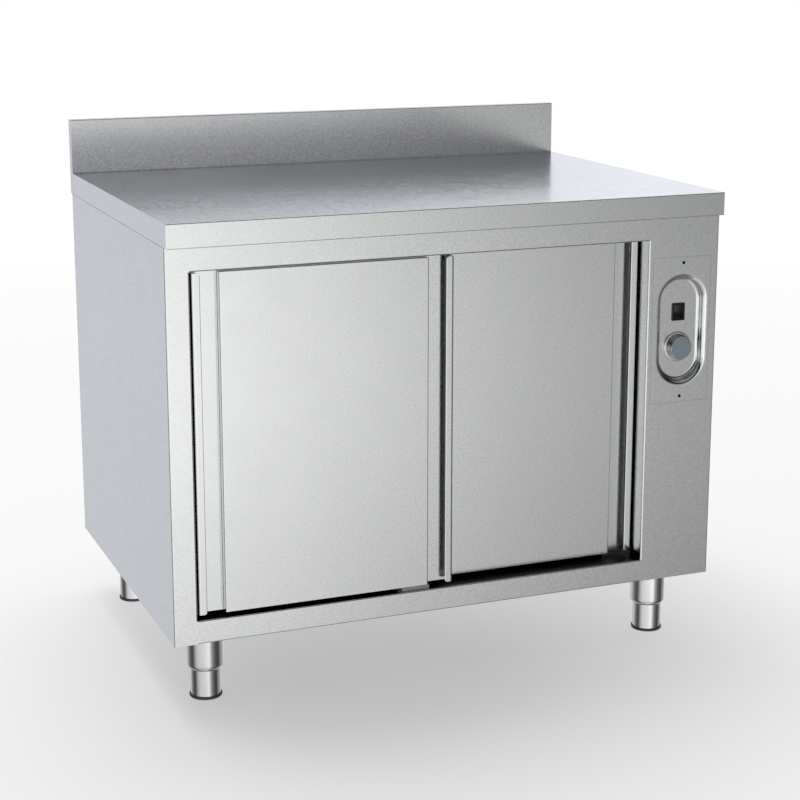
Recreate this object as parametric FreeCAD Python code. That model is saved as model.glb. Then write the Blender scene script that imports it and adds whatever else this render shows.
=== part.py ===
import FreeCAD, Part

import math
import os

from FreeCAD import Vector

# Plate warmer cabinet: a stainless worktop cupboard with two sliding doors, a heated chamber
# and a control stile. Millimetres. +X is the right-hand side, -Y the front, +Z up.
# The origin is on the floor under the middle of the worktop.

# Overall sizes
width = 1000.0
depth = 700.0
height = 926.0
upstand_height = 100.0
worktop_edge = 40.0
upstand_thickness = 20.0
leg_height = 126.0
front_setback = 14.0
rear_setback = 6.0

# Sheet metal
worktop_sheet = 1.5
worktop_return = 25.0
worktop_rear_return = 12.0
sheet = 1.0
bend_radius = 1.5
flange = 20.0
stiffener_width = 60.0
stiffener_foot = 20.0
stiffener_inset = 60.0
stiffener_spacing = 340.0

# Front frame
left_stile = 40.0
control_stile = 138.5
top_rail_height = 40.0
bottom_rail_height = 40.0
jamb_depth = 40.0
jamb_notch = 12.0
rail_hem = 8.0
rail_lip = 14.0
sill_depth = 60.0
sill_lip = 16.0
track_zone = 66.0

# Chamber and insulation
back_wall_thickness = 40.0
fan_space = 42.0
slab_clearance = 3.0
louvre_count = 6
louvre_length = 80.0
louvre_height = 9.0
louvre_pitch = 24.0
louvre_depth = 4.0
louvre_low = 380.0
inlet_rings = (34.0, 52.0, 70.0)
inlet_slot_width = 7.0
inlet_slot_share = 0.72
inlet_slots_per_ring = (6, 8, 10)
outlet_slot_count = 9
outlet_slot_length = 40.0
outlet_slot_height = 8.0
outlet_pitch = 56.0
outlet_inset = 40.0

# Shelf
shelf_height = 452.0
shelf_edge = 30.0
shelf_hem = 12.0
shelf_sheet = 1.2
shelf_front_gap = 14.0
shelf_rear_gap = 12.0
shelf_side_gap = 2.0
upright_width = 24.0
upright_depth = 12.0
upright_end_gap = 4.0
upright_inset = 90.0
upright_slot_width = 8.0
upright_slot_height = 14.0
upright_slot_pitch = 66.0
upright_first_slot = 24.0
clip_reach = 16.0
clip_thickness = 2.0
clip_drop = 12.0
clip_width = 7.0

# Doors
door_overlap = 86.5
door_thickness = 22.0
door_sheet = 1.0
door_bend = 1.0
door_setback = 1.0
door_pitch = 31.0
door_side_gap = 3.0
door_top_gap = 3.0
door_bottom_gap = 9.0
door_tongue = 14.0
grip_zone = 45.5
grip_depth = 15.0
lip_width = 14.0
lip_hem = 8.5
lip_hem_thickness = 2.2
lip_bend = 3.0
lip_corner = 5.0
door_slab_top_gap = 2.0
door_slab_bottom_gap = 24.0

# Door gear
track_width = 26.0
track_sheet = 1.5
track_bend = 0.5
track_slot = 10.0
track_end_gap = 2.0
track_door_gap = 2.5
roller_radius = 8.0
roller_round = 1.0
roller_width = 7.0
roller_side_gap = 0.5
rolling_gap = 0.3
axle_radius = 2.5
running_gap = 0.05
hanger_inset = 35.5
hanger_foot_length = 44.0
hanger_neck_length = 20.0
hanger_head = 6.0
hanger_round = 4.8
stop_length = 10.0
stop_height = 14.0
stop_gap = 0.3
stop_side_gap = 0.5
guide_overhang = 5.0
guide_length = 50.0
guide_front_setback = 5.0
guide_block_height = 7.0
guide_fin_length = 24.0
guide_fin_rise = 12.0
guide_fin_gap = 1.0
guide_edge = 2.0

# Controls
cover_jamb_gap = 9.0
cover_side_gap = 14.0
cover_top_drop = 71.5
cover_height = 261.0
cover_seam = 0.4
cover_lap = 6.0
cover_frame_sheet = 1.5
cover_screw_inset = 10.5
screw_head_radius = 1.7
screw_shank_radius = 1.2
screw_length = 9.0
screw_gap = 0.1
recess_width = 98.0
recess_height = 200.0
recess_draft = 10.0
recess_depth = 14.0
recess_rim_radius = 3.0
recess_floor_radius = 3.5
switch_rise = 30.0
switch_bezel_width = 25.0
switch_bezel_height = 31.4
switch_bezel_thickness = 2.0
switch_body_width = 21.6
switch_body_height = 27.6
switch_body_depth = 22.0
switch_wall = 0.8
switch_cavity_depth = 11.0
switch_cut_gap = 0.2
switch_tab_width = 6.3
switch_tab_thickness = 0.8
switch_tab_length = 9.0
switch_tab_spread = 7.0
rocker_half_height = 12.0
rocker_side_gap = 0.5
rocker_mid_rise = 3.5
rocker_end_rise = 5.6
rocker_end_drop = 1.0
rocker_heel = 5.0
rocker_pivot_depth = 2.0
rocker_pin_radius = 1.5
rocker_pin_length = 0.9
rocker_tilt = 8.0
knob_drop = 33.0
bezel_ring_radius = 27.0
bezel_ring_thickness = 2.0
bezel_ring_bore = 12.0
knob_base_radius = 23.0
knob_top_radius = 20.5
knob_height = 13.6
knob_gap = 0.4
knob_round = 1.2
knob_cap_radius = 19.4
knob_cap_thickness = 0.8
knob_socket_depth = 8.0
shaft_radius = 3.0
thermostat_width = 42.0
thermostat_depth = 30.0
thermostat_bush_radius = 5.0
thermostat_bush_length = 1.2
terminal_poles = 5
terminal_pitch = 12.0
terminal_depth = 24.0
terminal_height = 16.0
terminal_screw_radius = 3.0
terminal_rear_inset = 112.0
terminal_z = 230.0
gland_radius = 13.5
gland_thread_radius = 10.0
gland_bore = 5.0
gland_flange = 5.0
gland_dome = 14.0
gland_nut = 5.0
gland_side_inset = 66.0
gland_rear_inset = 190.0

# Fan and heating element
fan_y = 17.0
fan_z = 300.0
impeller_radius = 74.0
impeller_hub_radius = 13.0
impeller_width = 26.0
impeller_plate = 1.2
impeller_blades = 12
impeller_blade_thickness = 1.2
impeller_blade_inner = 40.0
impeller_blade_lean = 25.0
impeller_wall_gap = 6.0
motor_plate_width = 104.0
motor_plate_thickness = 3.0
motor_stack_width = 66.0
motor_stack_height = 78.0
motor_stack_depth = 34.0
motor_bell_radius = 25.0
motor_bell_depth = 14.0
motor_shaft_length = 36.0
partition_bore = 14.0
element_ring_radius = 94.0
element_tube_radius = 4.0
element_opening = 28.0
element_leg_length = 24.0
element_flange_margin = 9.0
element_flange_thickness = 2.0
element_hole_gap = 0.3

# Legs
leg_side_inset = 74.0
leg_end_inset = 85.0
sleeve_radius = 30.5
sleeve_wall = 1.5
sleeve_length = 75.0
sleeve_shoulder = 6.0
leg_tube_radius = 26.0
leg_tube_wall = 1.5
leg_tube_top_gap = 7.0
leg_slide_gap = 0.3
leg_plate_width = 100.0
leg_plate_thickness = 3.0
leg_plate_corner = 10.0
leg_pad_radius = 28.0
leg_pad_height = 5.0
leg_pad_round = 1.5
leg_pad_plug = 12.0
leg_pad_plug_gap = 0.1

# How far a cutter runs past what it cuts, and how near two points are to be one place
overrun = 2.0
same_place = 0.0001

# Planes that the sizes above fix
left = -width / 2
right = width / 2
front = -depth / 2
back = depth / 2
body_front = front + front_setback
body_back = back - rear_setback
worktop_height = height - upstand_height
body_bottom = leg_height
body_top = worktop_height - worktop_edge
opening_left = left + left_stile
opening_right = right - control_stile
opening_top = body_top - top_rail_height
opening_bottom = body_bottom + bottom_rail_height
inner_rear = body_back - 2 * sheet
sill_rear = body_front + sill_depth
chamber_front = body_front + track_zone
chamber_back = body_back - back_wall_thickness
baffle_x = opening_right - fan_space
door_bottom = opening_bottom + door_bottom_gap
door_top = opening_top - door_top_gap
tongue_top = door_top + door_tongue
door_zone = opening_right - opening_left - 2 * door_side_gap
door_width = (door_zone + door_overlap) / 2
front_door_x = opening_left + door_side_gap
rear_door_x = opening_right - door_side_gap - door_width
front_door_y = body_front + door_setback
rear_door_y = front_door_y + door_pitch
door_pocket = door_thickness - grip_depth - 2 * door_sheet
pocket_middle = grip_depth + door_sheet + door_pocket / 2
track_bottom = tongue_top + track_door_gap
track_top = body_top - sheet
track_floor = track_bottom + track_sheet
axle_z = track_floor + rolling_gap + roller_radius
cover_right = right - cover_side_gap
cover_left = opening_right + cover_jamb_gap
cover_top = body_top - cover_top_drop
cover_bottom = cover_top - cover_height
terminal_y = inner_rear - terminal_rear_inset
control_x = (opening_right + right) / 2
recess_z = (cover_top + cover_bottom) / 2
recess_floor = body_front + recess_depth
switch_z = recess_z + switch_rise
knob_z = recess_z - knob_drop

os.makedirs("parts", exist_ok=True)


def save(name, shape):
    shape.exportStep("parts/" + name + ".step")


def box(x0, x1, y0, y1, z0, z1):
    return Part.makeBox(x1 - x0, y1 - y0, z1 - z0, Vector(x0, y0, z0))


def fuse(shapes):
    whole = shapes[0].multiFuse(shapes[1:])
    return whole.removeSplitter()


def group(shapes):
    return Part.makeCompound(shapes)


def round_edges(shape, radius, wanted):
    edges = [edge for edge in shape.Edges if wanted(edge)]
    return shape.makeFillet(radius, edges)


def fold(points, thickness, radius, side):
    """Outline of a folded sheet: points are the corners of its reference face, and the metal
    lies to the left of the way travelled (side 1) or to the right of it (side -1). The radius
    is one for all bends, or a tuple with one for each."""
    count = len(points)
    radii = radius if isinstance(radius, tuple) else (radius,) * (count - 2)
    ways = []
    for start, end in zip(points, points[1:]):
        length = math.hypot(end[0] - start[0], end[1] - start[1])
        ways.append(((end[0] - start[0]) / length, (end[1] - start[1]) / length))
    shift = side * thickness / 2
    middle = []
    for index, (u, v) in enumerate(points):
        way_in = ways[max(index - 1, 0)]
        way_out = ways[min(index, count - 2)]
        normal = (-way_in[1] - way_out[1], way_in[0] + way_out[0])
        reach = shift / (1 + way_in[0] * way_out[0] + way_in[1] * way_out[1])
        middle.append((u + normal[0] * reach, v + normal[1] * reach))

    def chain(offset):
        first = ways[0]
        at = (middle[0][0] - first[1] * offset, middle[0][1] + first[0] * offset)
        steps = [at]
        for index in range(1, count - 1):
            (ax, ay), (bx, by) = ways[index - 1], ways[index]
            turn = math.atan2(ax * by - ay * bx, ax * bx + ay * by)
            bend = radii[index - 1] + thickness / 2
            sign = math.copysign(1, turn)
            tangent = bend * math.tan(abs(turn) / 2)
            px, py = middle[index]
            centre = (px - ax * tangent - ay * bend * sign, py - ay * tangent + ax * bend * sign)
            size = bend - sign * offset
            toward = math.hypot(px - centre[0], py - centre[1])
            peak = (centre[0] + (px - centre[0]) * size / toward,
                    centre[1] + (py - centre[1]) * size / toward)
            begin = (px - ax * tangent - ay * offset, py - ay * tangent + ax * offset)
            finish = (px + bx * tangent - by * offset, py + by * tangent + bx * offset)
            steps += [begin, peak, finish]
        last = ways[-1]
        steps.append((middle[-1][0] - last[1] * offset, middle[-1][1] + last[0] * offset))
        return steps

    return chain(thickness / 2), chain(-thickness / 2)


def folded(points, thickness, radius, side, place, along):
    """A folded sheet: place turns an outline point into space, along is how far it runs."""
    one, other = fold(points, thickness, radius, side)
    edges = []

    def follow(steps):
        for index in range(0, len(steps) - 1, 3):
            start = place(*steps[index])
            stop = place(*steps[index + 1])
            edges.append(Part.LineSegment(start, stop).toShape())
            if index + 3 < len(steps):
                peak = place(*steps[index + 2])
                finish = place(*steps[index + 3])
                edges.append(Part.Arc(stop, peak, finish).toShape())

    follow(one)
    edges.append(Part.LineSegment(place(*one[-1]), place(*other[-1])).toShape())
    follow(list(reversed(other)))
    edges.append(Part.LineSegment(place(*other[0]), place(*one[0])).toShape())
    face = Part.Face(Part.Wire(Part.__sortEdges__(edges)))
    return face.extrude(along)


def in_plan(z):
    return lambda u, v: Vector(u, v, z)


def in_section(x):
    return lambda u, v: Vector(x, u, v)


def obround_face(half_width, half_height, x, y, z):
    """An upright obround that faces the front, at depth y."""
    straight = half_height - half_width
    top = z + straight
    low = z - straight
    up_left = Vector(x - half_width, y, top)
    up_right = Vector(x + half_width, y, top)
    low_left = Vector(x - half_width, y, low)
    low_right = Vector(x + half_width, y, low)
    arcs = [
        Part.Arc(up_left, Vector(x, y, top + half_width), up_right).toShape(),
        Part.LineSegment(up_right, low_right).toShape(),
        Part.Arc(low_right, Vector(x, y, low - half_width), low_left).toShape(),
        Part.LineSegment(low_left, up_left).toShape(),
    ]
    return Part.Wire(arcs)


# Worktop: one folded sheet with its front edge, upstand and rear skirt, and welded end skirts
def make_worktop():
    rim = [
        (front + worktop_return, body_top),
        (front, body_top),
        (front, worktop_height),
        (back - upstand_thickness, worktop_height),
        (back - upstand_thickness, worktop_height + upstand_height),
        (back, worktop_height + upstand_height),
        (back, body_top),
        (back - worktop_rear_return, body_top),
    ]
    run = Vector(width - 2 * worktop_sheet, 0, 0)
    place = in_section(left + worktop_sheet)
    pieces = [folded(rim, worktop_sheet, bend_radius, -1, place, run)]
    ends = ((left, left + worktop_sheet, 1), (right - worktop_sheet, right, -1))
    for near, far, inward in ends:
        skirt = box(near, far, front, back, body_top, worktop_height)
        cap = box(near, far, back - upstand_thickness, back, worktop_height,
                  worktop_height + upstand_height)
        end = fuse([skirt, cap])
        end = round_edges(end, bend_radius + worktop_sheet, is_worktop_end_corner)
        pieces.append(end)
        low = min(near, near + inward * worktop_return)
        high = max(far, far + inward * worktop_return)
        pieces.append(box(low, high, front + worktop_return, back - worktop_rear_return,
                          body_top, body_top + worktop_sheet))
    return fuse(pieces)


def is_worktop_end_corner(edge):
    start, stop = edge.Vertexes[0].Point, edge.Vertexes[-1].Point
    across = abs(start.x - stop.x) > worktop_sheet / 2
    at_upstand = abs(start.y - (back - upstand_thickness)) < worktop_sheet
    inner = at_upstand and start.z < worktop_height + same_place
    return across and not inner


# Two hat channels under the worktop
def make_stiffeners():
    top = worktop_height - worktop_sheet
    low = body_top + worktop_sheet
    hats = []
    for way in (-1, 1):
        y = way * stiffener_spacing / 2
        hat = [
            (y - stiffener_width / 2 - stiffener_foot, top),
            (y - stiffener_width / 2, top),
            (y - stiffener_width / 2, low),
            (y + stiffener_width / 2, low),
            (y + stiffener_width / 2, top),
            (y + stiffener_width / 2 + stiffener_foot, top),
        ]
        place = in_section(left + stiffener_inset)
        run = Vector(width - 2 * stiffener_inset, 0, 0)
        hats.append(folded(hat, worktop_sheet, bend_radius, -1, place, run))
    return group(hats)


# Outer body: each side panel is one sheet folded into its side, stile and jamb
def top_flange(x0, x1):
    return box(x0, x1, body_front + track_zone, body_back - sheet, body_top - sheet, body_top)


def rail_welds(x0, x1):
    """Beside the rails the stile's bend is welded full, so that the frame's front is flush."""
    rear = body_front + sheet + bend_radius
    return [
        box(x0, x1, body_front, rear, opening_top, body_top),
        box(x0, x1, body_front, rear, body_bottom, opening_bottom),
    ]


def make_left_side():
    rear = body_back - sheet
    plan = [
        (left + flange, rear),
        (left, rear),
        (left, body_front),
        (opening_left, body_front),
        (opening_left, body_front + jamb_depth),
    ]
    rise = Vector(0, 0, body_top - body_bottom)
    panel = folded(plan, sheet, bend_radius, 1, in_plan(body_bottom), rise)
    panel = panel.fuse(top_flange(left, left + flange))
    notch = box(opening_left - 2 * sheet, opening_left + overrun,
                body_front + sheet + bend_radius, body_front + jamb_depth + overrun,
                body_bottom - overrun, opening_bottom + jamb_notch)
    return fuse([panel.cut(notch)] + rail_welds(opening_left - sheet - bend_radius, opening_left))


def make_right_side():
    rear = body_back - sheet
    plan = [
        (opening_right, body_front + jamb_depth),
        (opening_right, body_front),
        (right, body_front),
        (right, rear),
        (right - flange, rear),
    ]
    rise = Vector(0, 0, body_top - body_bottom)
    panel = folded(plan, sheet, bend_radius, 1, in_plan(body_bottom), rise)
    panel = panel.fuse(top_flange(right - flange, right))
    notch = box(opening_right - overrun, opening_right + 2 * sheet,
                body_front + sheet + bend_radius, body_front + jamb_depth + overrun,
                body_bottom - overrun, opening_bottom + jamb_notch)
    window = box(cover_left, cover_right, body_front - overrun, body_front + sheet + overrun,
                 cover_bottom, cover_top)
    welds = rail_welds(opening_right, opening_right + sheet + bend_radius)
    return fuse([panel.cut(notch).cut(window)] + welds)


def make_top_rail():
    section = [
        (body_front + rail_hem, opening_top),
        (body_front, opening_top),
        (body_front, body_top),
        (chamber_front, body_top),
        (chamber_front, body_top - rail_lip),
    ]
    run = Vector(opening_right - opening_left, 0, 0)
    return folded(section, sheet, bend_radius, -1, in_section(opening_left), run)


def leg_places():
    for side in (-1, 1):
        x = side * (width / 2 - leg_side_inset)
        yield side, -1, x, body_front + leg_end_inset
        yield side, 1, x, body_back - leg_end_inset


def gland_place():
    return right - gland_side_inset, body_back - gland_rear_inset


def make_base():
    section = [
        (sill_rear, opening_bottom - sill_lip),
        (sill_rear, opening_bottom),
        (body_front, opening_bottom),
        (body_front, body_bottom),
        (body_back - sheet, body_bottom),
        (body_back - sheet, body_bottom + flange),
    ]
    run = Vector(opening_right - opening_left, 0, 0)
    tray = folded(section, sheet, bend_radius, 1, in_section(opening_left), run)
    inner_corner = sheet + bend_radius
    wings = [
        box(left + sheet, opening_left, body_front + inner_corner, inner_rear - bend_radius,
            body_bottom, body_bottom + sheet),
        box(opening_right, right - sheet, body_front + inner_corner, inner_rear - bend_radius,
            body_bottom, body_bottom + sheet),
    ]
    x, y = gland_place()
    hole = Part.makeCylinder(gland_thread_radius, sheet + 2 * overrun,
                             Vector(x, y, body_bottom - overrun))
    return fuse([tray] + wings).cut(hole)


# Rear panel with pressed louvres behind the control compartment
def make_back_panel():
    skin = box(left + sheet, right - sheet, body_back - sheet, body_back,
               body_bottom + sheet, body_top - sheet)
    x = (opening_right + right) / 2
    slots = []
    hoods = []
    for index in range(louvre_count):
        z = louvre_low + index * louvre_pitch
        slots.append(box(x - louvre_length / 2, x + louvre_length / 2, body_back - sheet - overrun,
                         body_back + overrun, z, z + louvre_height))
        hoods.append(louvre_hood(x, z))
    return fuse([skin.cut(group(slots))] + hoods)


def louvre_hood(x, z):
    """A hood that leans out from the top of its slot, closed at both ends, open below."""
    out = body_back + louvre_depth
    high = z + louvre_height
    outer = [
        Vector(0, body_back - sheet, high),
        Vector(0, body_back, high + sheet),
        Vector(0, out, z + sheet),
        Vector(0, out, z),
        Vector(0, out - sheet, z),
        Vector(0, body_back - sheet, high - sheet),
    ]
    left_end = x - louvre_length / 2
    roof = Part.Face(Part.makePolygon(outer + outer[:1])).extrude(Vector(louvre_length, 0, 0))
    roof.translate(Vector(left_end, 0, 0))
    ends = []
    for at in (left_end, left_end + louvre_length - sheet):
        corner = [
            Vector(at, body_back - sheet, z),
            Vector(at, body_back - sheet, high),
            Vector(at, body_back, high),
            Vector(at, out, z),
        ]
        ends.append(Part.Face(Part.makePolygon(corner + corner[:1])).extrude(Vector(sheet, 0, 0)))
    return fuse([roof] + ends)


# Chamber lining
def make_left_wall():
    return box(opening_left - sheet, opening_left, body_front + jamb_depth, chamber_back,
               opening_bottom, opening_top)


def make_back_wall():
    return box(opening_left - sheet, opening_right, chamber_back, chamber_back + sheet,
               opening_bottom - sheet, opening_top + sheet)


def make_ceiling():
    section = [
        (chamber_front, body_top - sheet),
        (chamber_front, opening_top),
        (chamber_back, opening_top),
    ]
    run = Vector(opening_right - opening_left, 0, 0)
    return folded(section, sheet, bend_radius, 1, in_section(opening_left), run)


def make_floor():
    section = [
        (sill_rear, opening_bottom - sill_lip),
        (sill_rear, opening_bottom),
        (chamber_back, opening_bottom),
    ]
    run = Vector(opening_right - opening_left, 0, 0)
    return folded(section, sheet, bend_radius, -1, in_section(opening_left), run)


def element_ends():
    """The two points where the ring of the element turns towards the partition."""
    half = math.asin(element_opening / 2 / element_ring_radius)
    low = fan_z - element_ring_radius * math.cos(half)
    return [(fan_y - element_opening / 2, low), (fan_y + element_opening / 2, low)]


def make_partition():
    wall = box(opening_right, opening_right + sheet, body_front + jamb_depth, inner_rear,
               body_bottom + sheet, body_top - sheet)
    through = sheet + 2 * overrun
    start = opening_right - overrun
    bores = [Part.makeCylinder(partition_bore, through, Vector(start, fan_y, fan_z), Vector(1, 0, 0))]
    for y, z in element_ends():
        bores.append(Part.makeCylinder(element_tube_radius + element_hole_gap, through,
                                       Vector(start, y, z), Vector(1, 0, 0)))
    return wall.cut(group(bores))


# Air baffle: the chamber's right wall, with a ringed inlet over the fan and rows of outlets
def make_baffle():
    plan = [
        (opening_right, chamber_front),
        (baffle_x, chamber_front),
        (baffle_x, chamber_back),
    ]
    rise = Vector(0, 0, opening_top - opening_bottom)
    wall = folded(plan, sheet, bend_radius, -1, in_plan(opening_bottom), rise)
    cutters = []
    through = sheet + 2 * overrun
    start = baffle_x - overrun
    for ring, slots in zip(inlet_rings, inlet_slots_per_ring):
        outer = Part.makeCylinder(ring + inlet_slot_width / 2, through, Vector(0, 0, 0),
                                  Vector(1, 0, 0), 360 / slots * inlet_slot_share)
        inner = Part.makeCylinder(ring - inlet_slot_width / 2, through + 2 * overrun,
                                  Vector(-overrun, 0, 0), Vector(1, 0, 0))
        slot = outer.cut(inner)
        for index in range(slots):
            copy = slot.copy()
            copy.rotate(Vector(0, 0, 0), Vector(1, 0, 0), index * 360 / slots)
            copy.translate(Vector(start, fan_y, fan_z))
            cutters.append(copy)
    for z in (opening_bottom + outlet_inset, opening_top - outlet_inset):
        for index in range(outlet_slot_count):
            y = fan_y + (index - (outlet_slot_count - 1) / 2) * outlet_pitch
            cutters.append(box(start, start + through, y - outlet_slot_length / 2,
                               y + outlet_slot_length / 2, z - outlet_slot_height / 2,
                               z + outlet_slot_height / 2))
    return wall.cut(group(cutters))


# Mineral wool between the skins
def make_insulation():
    low = body_bottom + sheet
    high = body_top - sheet
    save("insulation_left", box(left + sheet, opening_left - sheet,
                                body_front + sheet + slab_clearance, inner_rear - slab_clearance,
                                low + slab_clearance, high - slab_clearance))
    save("insulation_back", box(opening_left + slab_clearance, opening_right - slab_clearance,
                                chamber_back + sheet, body_back - sheet,
                                low + flange + slab_clearance, high - slab_clearance))
    save("insulation_top", box(opening_left + slab_clearance, opening_right - slab_clearance,
                               chamber_front + sheet + slab_clearance, chamber_back - slab_clearance,
                               opening_top + sheet, high - slab_clearance))
    save("insulation_bottom", box(opening_left + slab_clearance, opening_right - slab_clearance,
                                  sill_rear + sheet + slab_clearance, chamber_back - slab_clearance,
                                  low, opening_bottom - sheet))


# Shelf on slotted uprights
def upright_rows():
    return chamber_front + upright_inset, chamber_back - upright_inset


def shelf_ends():
    return (opening_left + upright_depth + shelf_side_gap,
            baffle_x - upright_depth - shelf_side_gap)


def make_shelf():
    x0, x1 = shelf_ends()
    y0 = chamber_front + shelf_front_gap
    y1 = chamber_back - shelf_rear_gap
    low = shelf_height - shelf_edge
    section = [
        (y0 + shelf_hem, low),
        (y0, low),
        (y0, shelf_height),
        (y1, shelf_height),
        (y1, low),
        (y1 - shelf_hem, low),
    ]
    run = Vector(x1 - x0 - 2 * shelf_sheet, 0, 0)
    deck = folded(section, shelf_sheet, bend_radius, -1, in_section(x0 + shelf_sheet), run)
    ends = []
    for near in (x0, x1 - shelf_sheet):
        end = box(near, near + shelf_sheet, y0, y1, low, shelf_height)
        ends.append(round_edges(end, bend_radius + shelf_sheet, runs_along_x))
    return fuse([deck] + ends)


def runs_along_x(edge):
    start, stop = edge.Vertexes[0].Point, edge.Vertexes[-1].Point
    return abs(start.y - stop.y) < same_place and abs(start.z - stop.z) < same_place


def upright_slots():
    """Heights of the slots' middles; one row of slots holds the shelf clips."""
    first = shelf_height - shelf_edge - clip_drop / 2
    low = opening_bottom + upright_first_slot
    high = opening_top - upright_first_slot
    count_down = int((first - low) / upright_slot_pitch)
    count_up = int((high - first) / upright_slot_pitch)
    return [first + step * upright_slot_pitch for step in range(-count_down, count_up + 1)]


def make_uprights():
    posts = []
    for wall, inward in ((opening_left, 1), (baffle_x, -1)):
        for y in upright_rows():
            face = wall + inward * upright_depth
            plan = [
                (wall, y - upright_width / 2),
                (face, y - upright_width / 2),
                (face, y + upright_width / 2),
                (wall, y + upright_width / 2),
            ]
            low = opening_bottom + upright_end_gap
            rise = Vector(0, 0, opening_top - opening_bottom - 2 * upright_end_gap)
            post = folded(plan, sheet, bend_radius, inward, in_plan(low), rise)
            slots = []
            for z in upright_slots():
                slots.append(box(face - sheet - overrun, face + sheet + overrun,
                                 y - upright_slot_width / 2, y + upright_slot_width / 2,
                                 z - upright_slot_height / 2, z + upright_slot_height / 2))
            posts.append(post.cut(group(slots)))
    return group(posts)


def make_clips():
    clips = []
    top = shelf_height - shelf_edge
    for wall, inward in ((opening_left, 1), (baffle_x, -1)):
        face = wall + inward * upright_depth
        inner = face - inward * (sheet + clip_thickness)
        tip = face + inward * clip_reach
        for y in upright_rows():
            low_y = y - clip_width / 2
            high_y = y + clip_width / 2
            tray = box(min(inner, tip), max(inner, tip), low_y, high_y, top - clip_thickness, top)
            hook = box(min(inner, inner + inward * clip_thickness),
                       max(inner, inner + inward * clip_thickness), low_y, high_y,
                       top - clip_drop, top - clip_thickness)
            heel = box(min(face, face + inward * clip_thickness),
                       max(face, face + inward * clip_thickness), low_y, high_y,
                       top - clip_drop, top - clip_thickness)
            clips.append(fuse([tray, hook, heel]))
    return group(clips)


# Doors: the front skin is one sheet folded into two hemmed grips and a raised panel
def make_front_skin(x, y):
    thick = door_sheet
    wall = grip_zone + thick
    floor = grip_depth + thick
    hem_round = lip_hem_thickness / 2
    plan = [
        (lip_width - hem_round, 0),
        (0, 0),
        (0, floor),
        (wall, floor),
        (wall, thick),
        (door_width - wall, thick),
        (door_width - wall, floor),
        (door_width, floor),
        (door_width, 0),
        (door_width - lip_width + hem_round, 0),
    ]

    def place(u, v):
        return Vector(x + u, y + v, door_bottom)

    rise = door_top - door_bottom
    bends = (lip_bend,) + (door_bend,) * 6 + (lip_bend,)
    pieces = [folded(plan, thick, bends, -1, place, Vector(0, 0, rise))]
    for edge, inward in ((0, 1), (door_width, -1)):
        free = x + edge + inward * (lip_width - hem_round)
        root = free - inward * lip_hem
        pieces.append(box(min(free, root), max(free, root), y, y + lip_hem_thickness,
                          door_bottom, door_top))
        pieces.append(Part.makeCylinder(hem_round, rise, Vector(free, y + hem_round, door_bottom)))
    for z in (door_bottom, door_top - thick):
        pieces.append(box(x + wall, x + door_width - wall, y + thick, y + floor, z, z + thick))
    pieces.append(box(x, x + door_width, y + grip_depth, y + floor, door_top - thick, tongue_top))
    skin = fuse(pieces)
    corners = []
    for edge, inward in ((0, 1), (door_width, -1)):
        tip = x + edge + inward * lip_width
        for z, up in ((door_bottom, 1), (door_top, -1)):
            corners.append(lip_corner_cutter(tip, inward, z, up, y))
    return skin.cut(group(corners))


def lip_corner_cutter(tip, inward, z, up, y):
    """What rounds one corner of a lip's free edge: a square less a quarter disc."""
    outer_x = tip + inward * overrun
    outer_z = z - up * overrun
    middle_x = tip - inward * lip_corner
    middle_z = z + up * lip_corner
    low_y = y - overrun
    high_y = y + lip_hem_thickness + overrun
    square = box(min(outer_x, middle_x), max(outer_x, middle_x), low_y, high_y,
                 min(outer_z, middle_z), max(outer_z, middle_z))
    disc = Part.makeCylinder(lip_corner, high_y - low_y, Vector(middle_x, low_y, middle_z),
                             Vector(0, 1, 0))
    return square.cut(disc)


def make_back_skin(x, y):
    plan = [
        (x, y + grip_depth + door_sheet),
        (x, y + door_thickness),
        (x + door_width, y + door_thickness),
        (x + door_width, y + grip_depth + door_sheet),
    ]
    rise = Vector(0, 0, tongue_top - door_bottom)
    return folded(plan, door_sheet, door_bend, -1, in_plan(door_bottom), rise)


def make_door_slab(x, y):
    inner = grip_zone + door_sheet
    return box(x + inner, x + door_width - inner, y + door_sheet + door_bend,
               y + door_thickness - door_sheet,
               door_bottom + door_slab_bottom_gap, door_top - door_sheet - door_slab_top_gap)


def hanger_middles(x):
    return x + hanger_inset, x + door_width - hanger_inset


def make_hangers(x, y):
    plates = []
    low_y = y + grip_depth + door_sheet
    high_y = low_y + door_pocket
    for middle in hanger_middles(x):
        foot = box(middle - hanger_foot_length / 2, middle + hanger_foot_length / 2, low_y, high_y,
                   door_top - door_sheet, tongue_top)
        neck = box(middle - hanger_neck_length / 2, middle + hanger_neck_length / 2, low_y, high_y,
                   tongue_top, axle_z + hanger_head)
        plate = fuse([foot, neck])
        top = axle_z + hanger_head

        def at_head(edge):
            start, stop = edge.Vertexes[0].Point, edge.Vertexes[-1].Point
            return abs(start.z - top) < same_place and abs(stop.z - top) < same_place \
                and abs(start.y - stop.y) > door_pocket / 2

        plate = round_edges(plate, hanger_round, at_head)
        bore = Part.makeCylinder(axle_radius + running_gap, door_pocket + 2 * overrun,
                                 Vector(middle, low_y - overrun, axle_z), Vector(0, 1, 0))
        plates.append(plate.cut(bore))
    return group(plates)


def make_roller(middle, y):
    """Two wheels riveted on one axle, one on each side of the hanger plate."""
    centre = y + pocket_middle
    start = door_pocket / 2 + roller_side_gap
    axle = Part.makeCylinder(axle_radius, 2 * start, Vector(middle, centre - start, axle_z),
                             Vector(0, 1, 0))
    pieces = [axle]
    for way in (-1, 1):
        near = centre + way * start
        wheel = Part.makeCylinder(roller_radius, roller_width, Vector(middle, near, axle_z),
                                  Vector(0, way, 0))
        pieces.append(wheel.makeFillet(roller_round, [edge for edge in wheel.Edges if edge.Closed
                                                      and len(edge.Vertexes) == 1
                                                      and isinstance(edge.Curve, Part.Circle)]))
    return fuse(pieces)


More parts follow.
